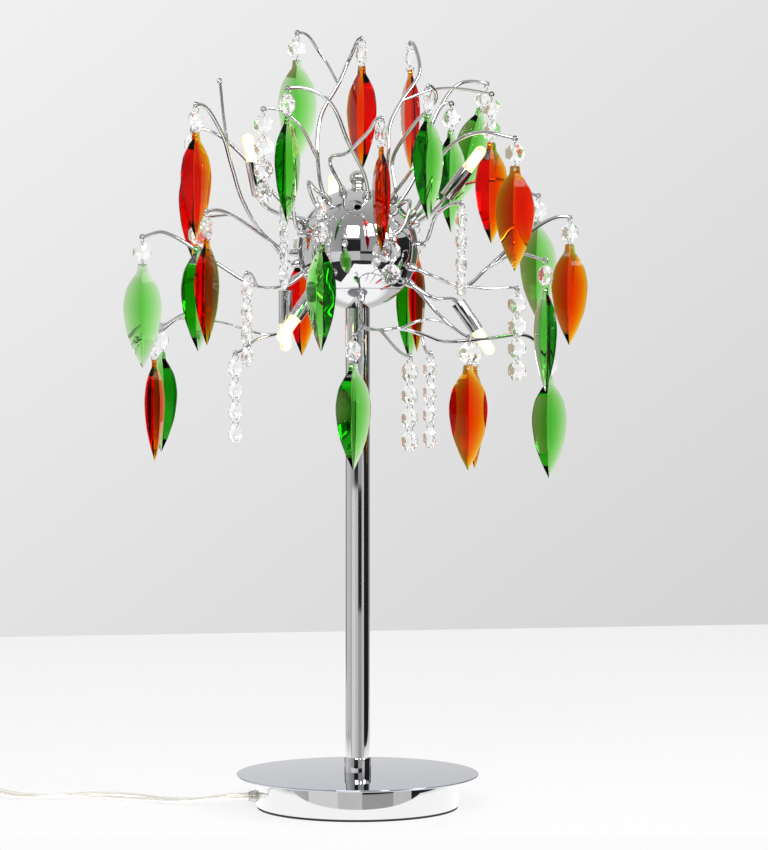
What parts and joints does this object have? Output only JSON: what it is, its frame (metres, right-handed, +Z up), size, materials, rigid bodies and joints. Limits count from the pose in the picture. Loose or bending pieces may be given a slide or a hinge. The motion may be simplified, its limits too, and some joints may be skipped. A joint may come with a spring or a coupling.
{
  "type": "table lamp",
  "caption": "Chrome tree table lamp: a ball on a stem carries bent wire twigs hung with coloured glass leaves and bead strands, and small capsule lamps.",
  "frame": {"origin": "centre of the underside of the base, on the table", "axes": "+Z up along the stem, -Y to the front (the viewer), +X to the viewer's right"},
  "size_m": [0.6169, 0.203, 0.5743],
  "materials": {
    "chrome": "polished",
    "iron": "raw",
    "felt": "felt",
    "steel": "zinc plated",
    "white_plastic": "gloss",
    "clear_plastic": "clear",
    "ceramic": "unglazed ceramic",
    "bulb_glass": "clear",
    "green_glass": "pressed, coloured through",
    "pale_green_glass": "pressed, coloured through",
    "amber_glass": "pressed, coloured through",
    "red_glass": "pressed, coloured through",
    "clear_glass": "cut crystal"
  },
  "bodies": {
    "lamp": {"base_plate": "chrome", "base_drum": "chrome", "base_weight": "iron", "base_felt": "felt", "transformer": "white_plastic", "cord_bush": "clear_plastic", "stem": "chrome", "stem_collar": "chrome", "tie_rod": "steel", "rod_nuts": "steel", "ball_upper": "chrome", "ball_lower": "chrome", "finial": "chrome", "twigs": "chrome", "lamp_arms": "chrome", "lamp_sleeves": "chrome", "bulb_sockets": "ceramic", "bulbs": "bulb_glass", "mains_cord": "clear_plastic", "cord_coil": "clear_plastic", "switch_case": "white_plastic", "plug": "white_plastic"},
    "rocker": {"switch_rocker": "white_plastic"},
    "leaf pendant 01": {"leaf_01": "pale_green_glass"},
    "leaf pendant 02": {"leaf_02": "amber_glass"},
    "leaf pendant 03": {"leaf_03": "red_glass"},
    "leaf pendant 04": {"leaf_04": "green_glass"},
    "leaf pendant 05": {"leaf_05": "red_glass"},
    "leaf pendant 06": {"leaf_06": "amber_glass"},
    "leaf pendant 07": {"leaf_07": "red_glass"},
    "leaf pendant 08": {"leaf_08": "green_glass"},
    "leaf pendant 09": {"leaf_09": "pale_green_glass"},
    "leaf pendant 10": {"leaf_10": "green_glass"},
    "leaf pendant 11": {"leaf_11": "amber_glass"},
    "leaf pendant 12": {"leaf_12": "amber_glass"},
    "leaf pendant 13": {"leaf_13": "pale_green_glass"},
    "leaf pendant 14": {"leaf_14": "amber_glass"},
    "leaf pendant 15": {"leaf_15": "green_glass"},
    "leaf pendant 16": {"leaf_16": "green_glass"},
    "leaf pendant 17": {"leaf_17": "amber_glass"},
    "leaf pendant 18": {"leaf_18": "amber_glass"},
    "leaf pendant 19": {"leaf_19": "green_glass"},
    "leaf pendant 20": {"leaf_20": "green_glass"},
    "leaf pendant 21": {"leaf_21": "amber_glass"},
    "leaf pendant 22": {"leaf_22": "green_glass"},
    "leaf pendant 23": {"leaf_23": "amber_glass"},
    "leaf pendant 24": {"leaf_24": "pale_green_glass"},
    "leaf pendant 25": {"leaf_25": "amber_glass"},
    "leaf pendant 26": {"leaf_26": "green_glass"},
    "leaf pendant 27": {"leaf_27": "amber_glass"},
    "leaf pendant 28": {"leaf_28": "green_glass"},
    "bead strand 1": {"beads_1": "clear_glass"},
    "bead strand 2": {"beads_2": "clear_glass"},
    "bead strand 3": {"beads_3": "clear_glass"},
    "bead strand 4": {"beads_4": "clear_glass"},
    "bead strand 5": {"beads_5": "clear_glass"},
    "bead strand 6": {"beads_6": "clear_glass"},
    "bead strand 7": {"beads_7": "clear_glass"},
    "bead strand 8": {"beads_8": "clear_glass"},
    "bead strand 9": {"beads_9": "clear_glass"}
  },
  "joints": [
    {"name": "rocker_tilt", "type": "hinge", "parent": "lamp", "child": "rocker", "pos_m": [-0.322, 0.04, 0.0135], "axis": [0, 1, 0], "range_deg": [-14, 0]},
    {"name": "leaf_01_swing", "type": "hinge", "parent": "lamp", "child": "leaf pendant 01", "pos_m": [-0.044, -0.02, 0.571], "axis": [0.5736, -0.8192, 0], "range_deg": [-20, 20]},
    {"name": "leaf_02_swing", "type": "hinge", "parent": "lamp", "child": "leaf pendant 02", "pos_m": [0.003, -0.027, 0.566], "axis": [0.9397, 0.342, 0], "range_deg": [-20, 20]},
    {"name": "leaf_03_swing", "type": "hinge", "parent": "lamp", "child": "leaf pendant 03", "pos_m": [0.04, 0.057, 0.572], "axis": [-0.9397, -0.342, 0], "range_deg": [-20, 6]},
    {"name": "leaf_04_swing", "type": "hinge", "parent": "lamp", "child": "leaf pendant 04", "pos_m": [-0.05, -0.077, 0.525], "axis": [0.5736, -0.8192, 0], "range_deg": [-20, 6]},
    {"name": "leaf_05_swing", "type": "hinge", "parent": "lamp", "child": "leaf pendant 05", "pos_m": [-0.116, -0.06, 0.515], "axis": [0.7071, -0.7071, 0], "range_deg": [-20, 10]},
    {"name": "leaf_06_swing", "type": "hinge", "parent": "lamp", "child": "leaf pendant 06", "pos_m": [-0.122, 0.002, 0.502], "axis": [0.4226, -0.9063, 0], "range_deg": [-18, 20]},
    {"name": "leaf_07_swing", "type": "hinge", "parent": "lamp", "child": "leaf pendant 07", "pos_m": [0.017, -0.072, 0.504], "axis": [0.6428, 0.766, 0], "range_deg": [-20, 10]},
    {"name": "leaf_08_swing", "type": "hinge", "parent": "lamp", "child": "leaf pendant 08", "pos_m": [0.051, -0.051, 0.529], "axis": [0.9397, -0.342, 0], "range_deg": [-20, 10]},
    {"name": "leaf_09_swing", "type": "hinge", "parent": "lamp", "child": "leaf pendant 09", "pos_m": [0.07, 0.02, 0.523], "axis": [0, 1, 0], "range_deg": [-20, 10]},
    {"name": "leaf_10_swing", "type": "hinge", "parent": "lamp", "child": "leaf pendant 10", "pos_m": [0.099, 0.075, 0.543], "axis": [-0.454, 0.891, 0], "range_deg": [-20, 20]},
    {"name": "leaf_11_swing", "type": "hinge", "parent": "lamp", "child": "leaf pendant 11", "pos_m": [0.101, 0.04, 0.532], "axis": [0, 1, 0], "range_deg": [-20, 18]},
    {"name": "leaf_12_swing", "type": "hinge", "parent": "lamp", "child": "leaf pendant 12", "pos_m": [0.114, -0.046, 0.492], "axis": [0.2588, 0.9659, 0], "range_deg": [-20, 20]},
    {"name": "leaf_13_swing", "type": "hinge", "parent": "lamp", "child": "leaf pendant 13", "pos_m": [0.139, 0.084, 0.458], "axis": [-0.5, 0.866, 0], "range_deg": [-20, 20]},
    {"name": "leaf_14_swing", "type": "hinge", "parent": "lamp", "child": "leaf pendant 14", "pos_m": [0.16, 0.04, 0.439], "axis": [-0.4226, 0.9063, 0], "range_deg": [-20, 20]},
    {"name": "leaf_15_swing", "type": "hinge", "parent": "lamp", "child": "leaf pendant 15", "pos_m": [0.138, -0.017, 0.405], "axis": [0.5, 0.866, 0], "range_deg": [-20, 6]},
    {"name": "leaf_16_swing", "type": "hinge", "parent": "lamp", "child": "leaf pendant 16", "pos_m": [0.144, 0.028, 0.339], "axis": [-0.6157, 0.788, 0], "range_deg": [-20, 20]},
    {"name": "leaf_17_swing", "type": "hinge", "parent": "lamp", "child": "leaf pendant 17", "pos_m": [0.08, -0.053, 0.348], "axis": [-0.5736, 0.8192, 0], "range_deg": [-20, 14]},
    {"name": "leaf_18_swing", "type": "hinge", "parent": "lamp", "child": "leaf pendant 18", "pos_m": [0.087, 0.004, 0.347], "axis": [-0.342, 0.9397, 0], "range_deg": [-20, 20]},
    {"name": "leaf_19_swing", "type": "hinge", "parent": "lamp", "child": "leaf pendant 19", "pos_m": [-0.003, -0.085, 0.349], "axis": [0.866, -0.5, 0], "range_deg": [-20, 20]},
    {"name": "leaf_20_swing", "type": "hinge", "parent": "lamp", "child": "leaf pendant 20", "pos_m": [-0.026, -0.083, 0.45], "axis": [0.9397, 0.342, 0], "range_deg": [-20, 10]},
    {"name": "leaf_21_swing", "type": "hinge", "parent": "lamp", "child": "leaf pendant 21", "pos_m": [-0.042, 0.054, 0.431], "axis": [0, -1, 0], "range_deg": [-20, 20]},
    {"name": "leaf_22_swing", "type": "hinge", "parent": "lamp", "child": "leaf pendant 22", "pos_m": [0.04, 0.072, 0.428], "axis": [-0.7071, 0.7071, 0], "range_deg": [-20, 20]},
    {"name": "leaf_23_swing", "type": "hinge", "parent": "lamp", "child": "leaf pendant 23", "pos_m": [0.045, 0.051, 0.434], "axis": [-0.7071, 0.7071, 0], "range_deg": [-20, 14]},
    {"name": "leaf_24_swing", "type": "hinge", "parent": "lamp", "child": "leaf pendant 24", "pos_m": [-0.158, -0.015, 0.422], "axis": [-0.2588, -0.9659, 0], "range_deg": [-20, 20]},
    {"name": "leaf_25_swing", "type": "hinge", "parent": "lamp", "child": "leaf pendant 25", "pos_m": [-0.108, -0.068, 0.438], "axis": [0.8387, -0.5446, 0], "range_deg": [-20, 20]},
    {"name": "leaf_26_swing", "type": "hinge", "parent": "lamp", "child": "leaf pendant 26", "pos_m": [-0.116, -0.036, 0.434], "axis": [-0.0872, -0.9962, 0], "range_deg": [-20, 6]},
    {"name": "leaf_27_swing", "type": "hinge", "parent": "lamp", "child": "leaf pendant 27", "pos_m": [-0.152, 0.026, 0.352], "axis": [0.4226, -0.9063, 0], "range_deg": [-20, 20]},
    {"name": "leaf_28_swing", "type": "hinge", "parent": "lamp", "child": "leaf pendant 28", "pos_m": [-0.15, 0.068, 0.358], "axis": [-0.5, -0.866, 0], "range_deg": [-20, 20]},
    {"name": "beads_1_swing", "type": "hinge", "parent": "lamp", "child": "bead strand 1", "pos_m": [-0.068, -0.047, 0.513], "axis": [0.2588, -0.9659, 0], "range_deg": [-20, 20]},
    {"name": "beads_2_swing", "type": "hinge", "parent": "lamp", "child": "bead strand 2", "pos_m": [-0.053, -0.062, 0.45], "axis": [0.9397, -0.342, 0], "range_deg": [-20, 20]},
    {"name": "beads_3_swing", "type": "hinge", "parent": "lamp", "child": "bead strand 3", "pos_m": [-0.08, -0.05, 0.394], "axis": [0.866, -0.5, 0], "range_deg": [-20, 20]},
    {"name": "beads_4_swing", "type": "hinge", "parent": "lamp", "child": "bead strand 4", "pos_m": [-0.091, 0.014, 0.337], "axis": [0.7071, -0.7071, 0], "range_deg": [-20, 20]},
    {"name": "beads_5_swing", "type": "hinge", "parent": "lamp", "child": "bead strand 5", "pos_m": [0.037, -0.09, 0.334], "axis": [0.6428, 0.766, 0], "range_deg": [-20, 20]},
    {"name": "beads_6_swing", "type": "hinge", "parent": "lamp", "child": "bead strand 6", "pos_m": [0.052, -0.072, 0.336], "axis": [0.766, 0.6428, 0], "range_deg": [-20, 20]},
    {"name": "beads_7_swing", "type": "hinge", "parent": "lamp", "child": "bead strand 7", "pos_m": [0.075, -0.048, 0.445], "axis": [0.866, 0.5, 0], "range_deg": [-20, 18]},
    {"name": "beads_8_swing", "type": "hinge", "parent": "lamp", "child": "bead strand 8", "pos_m": [0.117, -0.022, 0.384], "axis": [0.4226, 0.9063, 0], "range_deg": [-20, 10]},
    {"name": "beads_9_swing", "type": "hinge", "parent": "lamp", "child": "bead strand 9", "pos_m": [0.024, -0.054, 0.421], "axis": [0.1736, -0.9848, 0], "range_deg": [-20, 20]}
  ]
}
